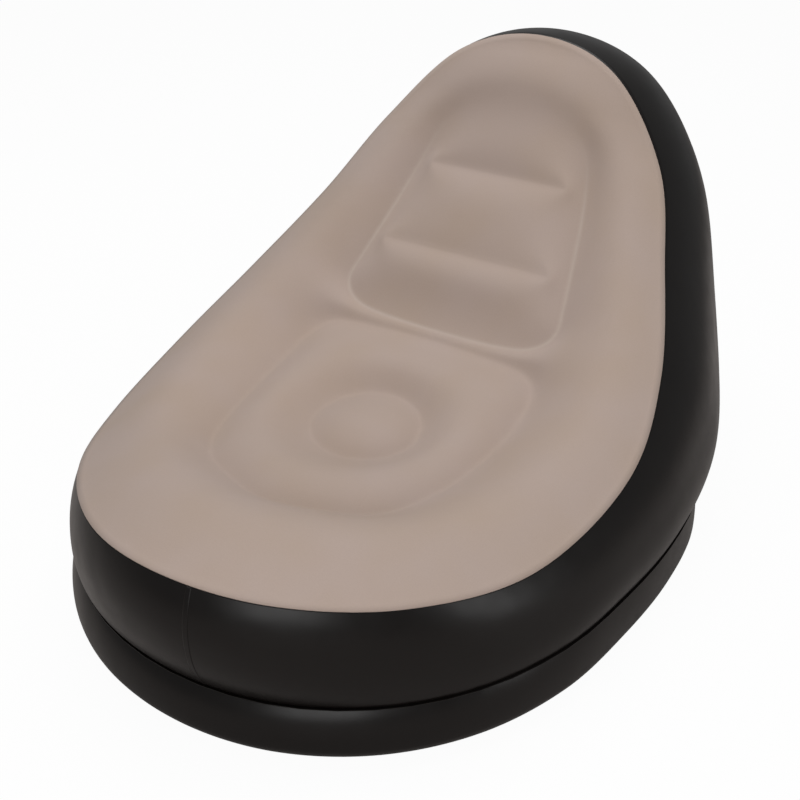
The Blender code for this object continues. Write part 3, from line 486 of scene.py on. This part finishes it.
class BaseWall:
    """The round wall of the base ring, from the floor up to the crease."""

    def __init__(self, body):
        self.round, self.middle = body.base_round, body.base_mid_height
        self.waist = waist_loop(body)
        self.out = -sideways(self.waist)
        way_front = 1 - (self.waist[:, 1:] - body.waist_front_y) / body.waist_length
        more_in_front = (body.base_overhang_front - body.base_overhang) * way_front**OVERHANG_POWER
        self.overhang = body.base_overhang + more_in_front
        self.top_angle = np.arccos((self.round - self.overhang) / self.round)
        self.low_half = self.middle - VINYL_THICKNESS - CLEARANCE
        top_height = body.waist_height - VINYL_THICKNESS / 2 - CLEARANCE
        self.high_half = (top_height - self.middle) / np.sin(self.top_angle)

    def point(self, t, v):
        """Outer surface over the way round and the way up."""
        v = np.asarray(v, dtype=float)[:, None]
        low = -math.pi / 2 * (1 - v / BASE_LOW_SHARE)
        high = around(self.top_angle, t) * (v - BASE_LOW_SHARE) / (1 - BASE_LOW_SHARE)
        angle = np.where(low < 0, low, high)
        side = around(self.overhang, t) - self.round + self.round * np.cos(angle)
        half = np.where(angle < 0, self.low_half, around(self.high_half, t))
        plan = around(self.waist, t) + around(self.out, t) * side
        return np.hstack([plan, self.middle + half * np.sin(angle)])


# Mesh making


def triangulate(lines, loose, outline):
    """Delaunay triangles inside an outline, over lines that stay edges and loose points."""
    points, edges = [], []
    for line, closed in lines:
        first, count = len(points), len(line)
        points.extend(line)
        edges.extend((first + i, first + (i + 1) % count) for i in range(count if closed else count - 1))
    points.extend(loose)
    result = delaunay_2d_cdt([Vector(p) for p in points], edges, [], 0, MERGE_DISTANCE)
    flat = np.array([tuple(v) for v in result[0]])
    faces = np.array([tuple(f) for f in result[2]])
    corners = flat[faces]
    ahead, beside = corners[:, 1] - corners[:, 0], corners[:, 2] - corners[:, 0]
    turned = ahead[:, 0] * beside[:, 1] - ahead[:, 1] * beside[:, 0] < 0
    faces[turned] = faces[turned][:, ::-1]
    return flat, faces[inside(outline, corners.mean(axis=1))]


def new_piece(name, points, faces, thickness=0.0):
    """A mesh object with smooth faces; a sheet gets its thickness on the inner side."""
    mesh = bpy.data.meshes.new(name)
    mesh.from_pydata([tuple(p) for p in points], [], [tuple(int(i) for i in f) for f in faces])
    mesh.shade_smooth()
    piece = bpy.data.objects.new(name, mesh)
    bpy.context.scene.collection.objects.link(piece)
    if thickness:
        solid = piece.modifiers.new("sheet thickness", "SOLIDIFY")
        solid.thickness = thickness
        solid.offset = -1.0
        solid.use_even_offset = True
    return piece


def add_values(piece, name, values):
    """Store one number for each point of a piece, for its material to read."""
    piece.data.attributes.new(name, "FLOAT", "POINT").data.foreach_set("value", values.astype(np.float32))


def valve_seat(prefix):
    """Where a valve sits on its wall, from the pivot of its screw plug."""
    joint = next(j for j in frame["joints"] if j["name"] == f"{prefix}_plug_turn")
    return np.array(joint["pos_m"])


def wall_piece(name, wall, ways, rows, seat, lap_rows=0):
    """A closed band over a wall's surface, pressed flat and pierced where its valve sits."""
    count = len(ways)
    points = np.concatenate([wall.point(ways, np.full(count, row)) for row in rows])
    for step in range(lap_rows):
        turned_in = around(wall.lap, ways) * (step + 1) / lap_rows
        points = np.vstack([points, wall.point(ways, np.ones(count)) + turned_in])
    levels = len(rows) + lap_rows
    away = np.hypot(points[:, 0] - seat[0], points[:, 2] - seat[2])
    rear = points[:, 1] > seat[1] - VALVE_DEPTH
    ease = np.clip((away - VALVE_FLAT_RADIUS) / VALVE_FLAT_RADIUS, 0, 1)
    ease = ease * ease * (3 - 2 * ease)
    points[rear, 1] = seat[1] + (points[rear, 1] - seat[1]) * ease[rear]
    faces = []
    for j in range(levels - 1):
        for i in range(count):
            k = (i + 1) % count
            faces.append((j * count + i, j * count + k, (j + 1) * count + k, (j + 1) * count + i))
    faces = np.array(faces)
    pierced = rear[faces].all(axis=1) & (away[faces].min(axis=1) < VALVE_HOLE_RADIUS)
    rim = np.intersect1d(faces[pierced], faces[~pierced])
    outward = unit(points[rim][:, [0, 2]] - seat[[0, 2]])
    edge = seat[[0, 2]] + outward * VALVE_HOLE_RADIUS
    points[rim] = np.stack([edge[:, 0], np.full(len(rim), seat[1]), edge[:, 1]], axis=1)
    faces = faces[~pierced]
    used, faces = np.unique(faces, return_inverse=True)
    return new_piece(name, points[used], faces.reshape(-1, 4), VINYL_THICKNESS)


# Materials


def srgb(code):
    """Linear colour of an sRGB hex value."""
    parts = [int(code[i:i + 2], 16) / 255 for i in (1, 3, 5)]
    return (*[c / 12.92 if c <= 0.04045 else ((c + 0.055) / 1.055) ** 2.4 for c in parts], 1.0)


def add_node(tree, kind, inputs=None, **settings):
    """Add a node with its settings; an input takes a value or another node's output."""
    node = tree.nodes.new(kind)
    for name, value in settings.items():
        setattr(node, name, value)
    for socket, value in (inputs or {}).items():
        if isinstance(value, bpy.types.NodeSocket):
            tree.links.new(value, node.inputs[socket])
        else:
            node.inputs[socket].default_value = value
    return node


def new_material(name):
    """A node material with its tree, its Principled shader and object coordinates in metres."""
    material = bpy.data.materials.new(name)
    material.use_nodes = True
    tree = material.node_tree
    shader = tree.nodes["Principled BSDF"]
    place = add_node(tree, "ShaderNodeTexCoord").outputs["Object"]
    return material, tree, shader, place


def per_metre(size):
    """Noise scale at which one patch is about size across."""
    return 1.0 / size


def flocked_vinyl(finish):
    """PVC film with electrostatic flock: a matt, velvety pile that lightens at its edges."""
    material, tree, shader, place = new_material("flocked vinyl")
    # The pile leans in patches of a hand or two, which gives two close shades
    lean = add_node(tree, "ShaderNodeTexNoise", {"Vector": place, "Scale": per_metre(150 * MM), "Detail": 2.0,
                                                 "Roughness": 0.5})
    lean_range = add_node(tree, "ShaderNodeMapRange", {"Value": lean.outputs["Fac"], "From Min": 0.35,
                                                       "From Max": 0.65})
    shade = add_node(tree, "ShaderNodeMix", {0: lean_range.outputs["Result"], 6: srgb(finish.flock),
                                             7: srgb(finish.flock_warm)}, data_type="RGBA")
    # Fibres are 0.5 mm long; their clumps are drawn 2 mm wide, as coarse as they need to be to show
    pile = add_node(tree, "ShaderNodeTexNoise", {"Vector": place, "Scale": per_metre(2 * MM), "Detail": 3.0,
                                                 "Roughness": 0.6})
    pile_range = add_node(tree, "ShaderNodeMapRange", {"Value": pile.outputs["Fac"], "To Min": 0.95,
                                                       "To Max": 1.05})
    piled = add_node(tree, "ShaderNodeMix", {0: 1.0, 6: shade.outputs[2], 7: pile_range.outputs["Result"]},
                     data_type="RGBA", blend_type="MULTIPLY")
    # A weld presses the fibres flat; the back pad's weld is painted lighter, a painted highlight of the flat
    # pile that fades towards its top
    pressed = add_node(tree, "ShaderNodeAttribute", attribute_name="pressed")
    welded = add_node(tree, "ShaderNodeMix", {0: pressed.outputs["Fac"], 6: piled.outputs[2],
                                              7: srgb(finish.flock_weld_highlight)}, data_type="RGBA")
    tree.links.new(welded.outputs[2], shader.inputs["Base Color"])
    relief = add_node(tree, "ShaderNodeBump", {"Height": pile.outputs["Fac"], "Strength": 0.35,
                                               "Distance": 0.4 * MM})
    tree.links.new(relief.outputs["Normal"], shader.inputs["Normal"])
    shader.inputs["Roughness"].default_value = 0.95
    shader.inputs["IOR"].default_value = 1.45
    shader.inputs["Specular IOR Level"].default_value = 0.2
    shader.inputs["Sheen Weight"].default_value = 0.15
    shader.inputs["Sheen Roughness"].default_value = 0.6
    return material


def calendered_vinyl(name, colour, roughness):
    """Calendered PVC film, satin, with a fine embossed grain and the soft waves of a taut sheet."""
    material, tree, shader, place = new_material(name)
    # Embossed grain is 0.3 mm; it is drawn at 0.9 mm, as coarse as it needs to be to show
    grain = add_node(tree, "ShaderNodeTexVoronoi", {"Vector": place, "Scale": per_metre(0.9 * MM)})
    fine = add_node(tree, "ShaderNodeBump", {"Height": grain.outputs["Distance"], "Strength": 0.05,
                                             "Distance": 0.1 * MM})
    # Film under pressure keeps faint waves 60 mm across
    wave = add_node(tree, "ShaderNodeTexNoise", {"Vector": place, "Scale": per_metre(60 * MM), "Detail": 1.0})
    broad = add_node(tree, "ShaderNodeBump", {"Height": wave.outputs["Fac"], "Strength": 0.25,
                                              "Distance": 2 * MM, "Normal": fine.outputs["Normal"]})
    tree.links.new(broad.outputs["Normal"], shader.inputs["Normal"])
    # Handling marks of a few centimetres change the gloss a little
    marks = add_node(tree, "ShaderNodeTexNoise", {"Vector": place, "Scale": per_metre(35 * MM),
                                                  "Detail": 4.0})
    gloss = add_node(tree, "ShaderNodeMapRange", {"Value": marks.outputs["Fac"], "From Min": 0.3,
                                                  "From Max": 0.7, "To Min": roughness - 0.03,
                                                  "To Max": roughness + 0.03})
    tree.links.new(gloss.outputs["Result"], shader.inputs["Roughness"])
    tint = add_node(tree, "ShaderNodeMapRange", {"Value": marks.outputs["Fac"], "To Min": 0.96,
                                                 "To Max": 1.04})
    colour_mix = add_node(tree, "ShaderNodeMix", {0: 1.0, 6: srgb(colour), 7: tint.outputs["Result"]},
                          data_type="RGBA", blend_type="MULTIPLY")
    tree.links.new(colour_mix.outputs[2], shader.inputs["Base Color"])
    shader.inputs["IOR"].default_value = 1.53
    shader.inputs["Specular IOR Level"].default_value = 0.24
    return material


def moulded_plastic(name, colour, roughness):
    """Injection-moulded polyethylene or soft PVC: even colour with a spark-eroded satin skin."""
    material, tree, shader, place = new_material(name)
    # The mould's eroded texture is 0.1 mm; it is drawn at 0.4 mm to show on a valve
    skin = add_node(tree, "ShaderNodeTexNoise", {"Vector": place, "Scale": per_metre(0.4 * MM),
                                                 "Detail": 2.0})
    relief = add_node(tree, "ShaderNodeBump", {"Height": skin.outputs["Fac"], "Strength": 0.2,
                                               "Distance": 0.05 * MM})
    tree.links.new(relief.outputs["Normal"], shader.inputs["Normal"])
    worn = add_node(tree, "ShaderNodeTexNoise", {"Vector": place, "Scale": per_metre(6 * MM), "Detail": 3.0})
    gloss = add_node(tree, "ShaderNodeMapRange", {"Value": worn.outputs["Fac"], "To Min": roughness - 0.06,
                                                  "To Max": roughness + 0.06})
    tree.links.new(gloss.outputs["Result"], shader.inputs["Roughness"])
    shader.inputs["Base Color"].default_value = srgb(colour)
    shader.inputs["IOR"].default_value = 1.50
    return material


def finish_nodes(material, *nodes):
    """Give CAD nodes their finished material."""
    for node in nodes:
        for slot in frame["nodes"][node].material_slots:
            slot.material = material


# Operators


class LOUNGER_OT_flocked_sheet(bpy.types.Operator):
    """Lay the flocked sheet over the scoop, with its pads, rim and pressed weld lines"""

    bl_idname = "lounger.flocked_sheet"
    bl_label = "Flocked Sheet"

    def execute(self, context):
        seam_sizes, pads = context.scene.lounger_seam, context.scene.lounger_pads
        sheet = FlockedSheet(seam_sizes, pads)
        half = pads.weld_width / 2
        lines = [(sheet.outline, True), (sheet.lap_line, True)]
        for loop in (sheet.seat, sheet.oval, sheet.back):
            count = int(np.linalg.norm(np.roll(loop, -1, axis=0) - loop, axis=1).sum() / WELD_STEP)
            even = even_loop(loop, count)
            lines += [(even + sideways(even) * shift, True)
                      for shift in (-WELD_SHOULDER * half, -half, 0, half, WELD_SHOULDER * half)]
        for weld in sheet.cross_welds:
            lines += [(weld + (0, shift), False) for shift in (-half, 0, half)]
        cell = MESH_CELL
        low, high = sheet.outline.min(axis=0), sheet.outline.max(axis=0)
        rows = np.arange(low[1], high[1], cell * math.sqrt(3) / 2)
        loose = np.array([((i + j % 2 / 2) * cell, y) for j, y in enumerate(rows)
                          for i in range(int(low[0] / cell) - 1, int(high[0] / cell) + 2)])
        loose = loose[inside(sheet.lap_line, loose)]
        lined = np.concatenate([line for line, _ in lines])
        cells = {(int(x // cell), int(y // cell)) for x, y in lined}
        loose = np.array([p for p in loose if (int(p[0] // cell), int(p[1] // cell)) not in cells])
        flat, faces = triangulate(lines, loose, sheet.outline)
        piece = new_piece("flocked_sheet", sheet.lay(flat, sheet.relief(flat)), faces, FLOCKED_THICKNESS)
        # The back pad's weld line: pressed flock, painted lighter as a highlight that fades towards its top
        add_values(piece, "pressed", sheet.weld_highlight_share(flat))
        piece.data.materials.append(flocked_vinyl(context.scene.lounger_finish))
        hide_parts("flocked_top_panel")
        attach(piece, "lounger")
        return {"FINISHED"}


class LOUNGER_OT_side_wall(bpy.types.Operator):
    """Stand the black side wall between the waist crease and the top seam"""

    bl_idname = "lounger.side_wall"
    bl_label = "Side Wall"

    def execute(self, context):
        seam_sizes, body = context.scene.lounger_seam, context.scene.lounger_body
        sheet = FlockedSheet(seam_sizes, context.scene.lounger_pads)
        wall = SideWall(sheet, seam_sizes, body)
        ways = np.arange(SAMPLES) / SAMPLES
        rows = np.linspace(0, 1, SIDE_WALL_ROWS)
        piece = wall_piece("side_wall_sheet", wall, ways, rows, valve_seat("body"), TURNED_IN_ROWS)
        piece.data.materials.append(bpy.data.materials["calendered black vinyl"])
        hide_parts("side_wall")
        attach(piece, "lounger")
        return {"FINISHED"}


class LOUNGER_OT_wall_lap(bpy.types.Operator):
    """Lap the side wall's two ends over each other in an upright seam"""

    bl_idname = "lounger.wall_lap"
    bl_label = "Wall Lap"

    def execute(self, context):
        seam_sizes, body = context.scene.lounger_seam, context.scene.lounger_body
        wall = SideWall(FlockedSheet(seam_sizes, context.scene.lounger_pads), seam_sizes, body)
        round_about = np.linalg.norm(np.roll(wall.foot, -1, axis=0) - wall.foot, axis=1).sum()
        ways = LAP_WAY_SHARE + np.linspace(-0.5, 0.5, LAP_COLUMNS) * LAP_WIDTH / round_about
        rows = np.linspace(*LAP_END_SHARES, LAP_ROWS)
        points = np.array([wall.point(ways, np.full(len(ways), row)) for row in rows])
        outward = np.cross(np.gradient(points, axis=1), np.gradient(points, axis=0)).reshape(-1, 3)
        points = points.reshape(-1, 3) + unit(outward) * LAP_THICKNESS
        faces = [(i, i + 1, i + 1 + len(ways), i + len(ways)) for i in range(len(points) - len(ways))
                 if (i + 1) % len(ways)]
        piece = new_piece("side_wall_lap", points, faces, LAP_THICKNESS)
        piece.data.materials.append(bpy.data.materials["calendered black vinyl"])
        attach(piece, "lounger")
        return {"FINISHED"}


class LOUNGER_OT_base_ring(bpy.types.Operator):
    """Lay the rounded black base ring under the crease"""

    bl_idname = "lounger.base_ring"
    bl_label = "Base Ring"

    def execute(self, context):
        base = BaseWall(context.scene.lounger_body)
        ways = np.arange(SAMPLES) / SAMPLES
        rows = np.linspace(0, 1, BASE_WALL_ROWS)
        piece = wall_piece("base_wall_sheet", base, ways, rows, valve_seat("base"))
        piece.data.materials.append(bpy.data.materials["calendered black vinyl"])
        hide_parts("base_wall")
        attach(piece, "lounger")
        return {"FINISHED"}


class LOUNGER_OT_hidden_sheets(bpy.types.Operator):
    """Finish the bottom sheet, the waist diaphragm and the inner webs"""

    bl_idname = "lounger.hidden_sheets"
    bl_label = "Hidden Sheets"

    def execute(self, context):
        finish = context.scene.lounger_finish
        finish_nodes(bpy.data.materials["calendered black vinyl"], "bottom_sheet", "waist_diaphragm")
        grey = calendered_vinyl("calendered grey vinyl", finish.grey_vinyl, GREY_ROUGHNESS)
        finish_nodes(grey, "seat_ring_web", "seat_centre_web", "back_loop_web", "back_lower_web",
                     "back_upper_web", "base_ring_web")
        return {"FINISHED"}


class LOUNGER_OT_valves(bpy.types.Operator):
    """Finish both screw valves at the rear"""

    bl_idname = "lounger.valves"
    bl_label = "Screw Valves"

    def execute(self, context):
        finish = context.scene.lounger_finish
        plastic = moulded_plastic("moulded polyethylene", finish.valve, PLASTIC_ROUGHNESS)
        rubber = moulded_plastic("moulded silicone rubber", finish.rubber, RUBBER_ROUGHNESS)
        for prefix in ("body", "base"):
            finish_nodes(plastic, *(f"{prefix}_valve_{part}" for part in
                                    ("collar", "plug", "cap", "strap_anchor", "flap_stud")))
            finish_nodes(rubber, f"{prefix}_valve_seal", f"{prefix}_valve_flap")
        return {"FINISHED"}


class LOUNGER_OT_stage(bpy.types.Operator):
    """Set up the camera, the plain floor and the soft lamps"""

    bl_idname = "lounger.stage"
    bl_label = "Stage"

    def execute(self, context):
        stage = context.scene.lounger_stage
        scene = context.scene
        scene.view_settings.view_transform = "Standard"
        target = Vector((TARGET_ASIDE, 0, stage.target_height))
        towards = Vector((math.cos(stage.elevation) * math.sin(stage.azimuth),
                          -math.cos(stage.elevation) * math.cos(stage.azimuth), math.sin(stage.elevation)))
        camera = bpy.data.objects.new("camera", bpy.data.cameras.new("camera"))
        camera.data.lens = stage.focal_length
        camera.data.sensor_width = SENSOR_WIDTH
        camera.location = target + towards * stage.distance
        camera.rotation_euler = (-towards).to_track_quat("-Z", "Y").to_euler()
        scene.collection.objects.link(camera)
        scene.camera = camera
        self.add_lamp("overhead lamp", azimuth=-140, elevation=81, distance=3.6, size=(3.2, 3.2),
                      power=stage.overhead_power)
        self.add_lamp("left soft box", azimuth=23, elevation=16, distance=2.5, size=(1.2, 1.2),
                      power=stage.left_power)
        self.add_lamp("right soft box", azimuth=83, elevation=9, distance=2.5, size=(0.6, 1.2),
                      power=stage.right_power)
        self.add_floor(stage)
        self.add_world(stage)
        return {"FINISHED"}

    def add_lamp(self, name, azimuth, elevation, distance, size, power):
        """A lamp that faces the seat; its angles are in degrees, round from the front and up."""
        turn, rise = math.radians(azimuth), math.radians(elevation)
        towards = Vector((math.cos(rise) * math.sin(turn), -math.cos(rise) * math.cos(turn), math.sin(rise)))
        lamp = bpy.data.lights.new(name, "AREA")
        lamp.shape = "RECTANGLE"
        lamp.size, lamp.size_y = size
        lamp.energy = power
        item = bpy.data.objects.new(name, lamp)
        item.location = Vector((0, 0, LAMP_AIM_HEIGHT)) + towards * distance
        item.rotation_euler = (-towards).to_track_quat("-Z", "Y").to_euler()
        bpy.context.scene.collection.objects.link(item)

    def add_floor(self, stage):
        """A wide floor, plain white to the camera but for a faint shadow."""
        corners = [(x * FLOOR_REACH, y * FLOOR_REACH, 0) for x, y in ((-1, -1), (1, -1), (1, 1), (-1, 1))]
        floor = new_piece("floor", corners, [(0, 1, 2, 3)])
        material, tree, shader, _ = new_material("paper floor")
        seen = self.seen_rays(tree, stage.mirrored)
        colour = add_node(tree, "ShaderNodeMix", {0: seen, 6: srgb(stage.floor_paper),
                                                  7: srgb(stage.floor_seen)}, data_type="RGBA")
        tree.links.new(colour.outputs[2], shader.inputs["Base Color"])
        shader.inputs["Roughness"].default_value = 0.9
        white = add_node(tree, "ShaderNodeEmission", {"Color": (1, 1, 1, 1), "Strength": 1.0})
        # The small share that stays paper keeps the shadow
        share = add_node(tree, "ShaderNodeMath", {0: seen, 1: FLOOR_GLOW_SHARE}, operation="MULTIPLY")
        blend = add_node(tree, "ShaderNodeMixShader", {0: share.outputs["Value"], 1: shader.outputs["BSDF"],
                                                       2: white.outputs["Emission"]})
        output = next(node for node in tree.nodes if node.type == "OUTPUT_MATERIAL")
        tree.links.new(blend.outputs["Shader"], output.inputs["Surface"])
        floor.data.materials.append(material)

    def seen_rays(self, tree, mirrored):
        """One for rays that see the background straight, a share for those reflected or let through."""
        path = add_node(tree, "ShaderNodeLightPath")
        indirect = add_node(tree, "ShaderNodeMath", {0: path.outputs["Is Glossy Ray"],
                                                     1: path.outputs["Is Transmission Ray"]},
                            operation="MAXIMUM")
        share = add_node(tree, "ShaderNodeMath", {0: indirect.outputs["Value"], 1: mirrored},
                         operation="MULTIPLY")
        seen = add_node(tree, "ShaderNodeMath", {0: path.outputs["Is Camera Ray"], 1: share.outputs["Value"]},
                        operation="MAXIMUM")
        return seen.outputs["Value"]

    def add_world(self, stage):
        """Even surroundings: plain white where they are seen, dimmer as a light."""
        world = bpy.data.worlds.new("surroundings")
        bpy.context.scene.world = world
        world.use_nodes = True
        tree = world.node_tree
        level = add_node(tree, "ShaderNodeMapRange", {"Value": self.seen_rays(tree, stage.mirrored),
                                                      "To Min": stage.ambient, "To Max": 1.0})
        background = tree.nodes["Background"]
        background.inputs["Color"].default_value = (1, 1, 1, 1)
        tree.links.new(level.outputs["Result"], background.inputs["Strength"])


class LOUNGER_OT_vinyl(bpy.types.Operator):
    """Make the satin black film that the walls share"""

    bl_idname = "lounger.vinyl"
    bl_label = "Black Vinyl"

    def execute(self, context):
        finish = context.scene.lounger_finish
        calendered_vinyl("calendered black vinyl", finish.black_vinyl, BLACK_ROUGHNESS)
        return {"FINISHED"}


class LOUNGER_PT_sidebar(bpy.types.Panel):
    """Lists the settings and the steps that build the lounger."""

    bl_idname = "LOUNGER_PT_sidebar"
    bl_label = "Inflatable Air Lounger"
    bl_space_type = "VIEW_3D"
    bl_region_type = "UI"
    bl_category = "Lounger"

    def draw(self, context):
        for name in SETTINGS:
            box = self.layout.box()
            settings = getattr(context.scene, name)
            for key in settings.__annotations__:
                box.prop(settings, key)
        for operator in STEPS:
            self.layout.operator(operator.bl_idname)


SETTINGS = {
    "lounger_seam": LoungerSeamSettings,
    "lounger_body": LoungerBodySettings,
    "lounger_pads": LoungerPadSettings,
    "lounger_finish": LoungerFinishSettings,
    "lounger_stage": LoungerStageSettings,
}
STEPS = (
    LOUNGER_OT_stage,
    LOUNGER_OT_vinyl,
    LOUNGER_OT_flocked_sheet,
    LOUNGER_OT_side_wall,
    LOUNGER_OT_wall_lap,
    LOUNGER_OT_base_ring,
    LOUNGER_OT_hidden_sheets,
    LOUNGER_OT_valves,
)


def register():
    """Register the settings, the steps and the panel."""
    for name, settings in SETTINGS.items():
        bpy.utils.register_class(settings)
        setattr(bpy.types.Scene, name, bpy.props.PointerProperty(type=settings))
    for item in (*STEPS, LOUNGER_PT_sidebar):
        bpy.utils.register_class(item)


def unregister():
    """Take back what register added."""
    for item in reversed((*STEPS, LOUNGER_PT_sidebar)):
        bpy.utils.unregister_class(item)
    for name, settings in SETTINGS.items():
        delattr(bpy.types.Scene, name)
        bpy.utils.unregister_class(settings)


def main():
    """Build the lounger."""
    register()
    bpy.ops.lounger.stage()
    bpy.ops.lounger.vinyl()
    bpy.ops.lounger.flocked_sheet()
    bpy.ops.lounger.side_wall()
    bpy.ops.lounger.wall_lap()
    bpy.ops.lounger.base_ring()
    bpy.ops.lounger.hidden_sheets()
    bpy.ops.lounger.valves()


if __name__ == "__main__":
    main()
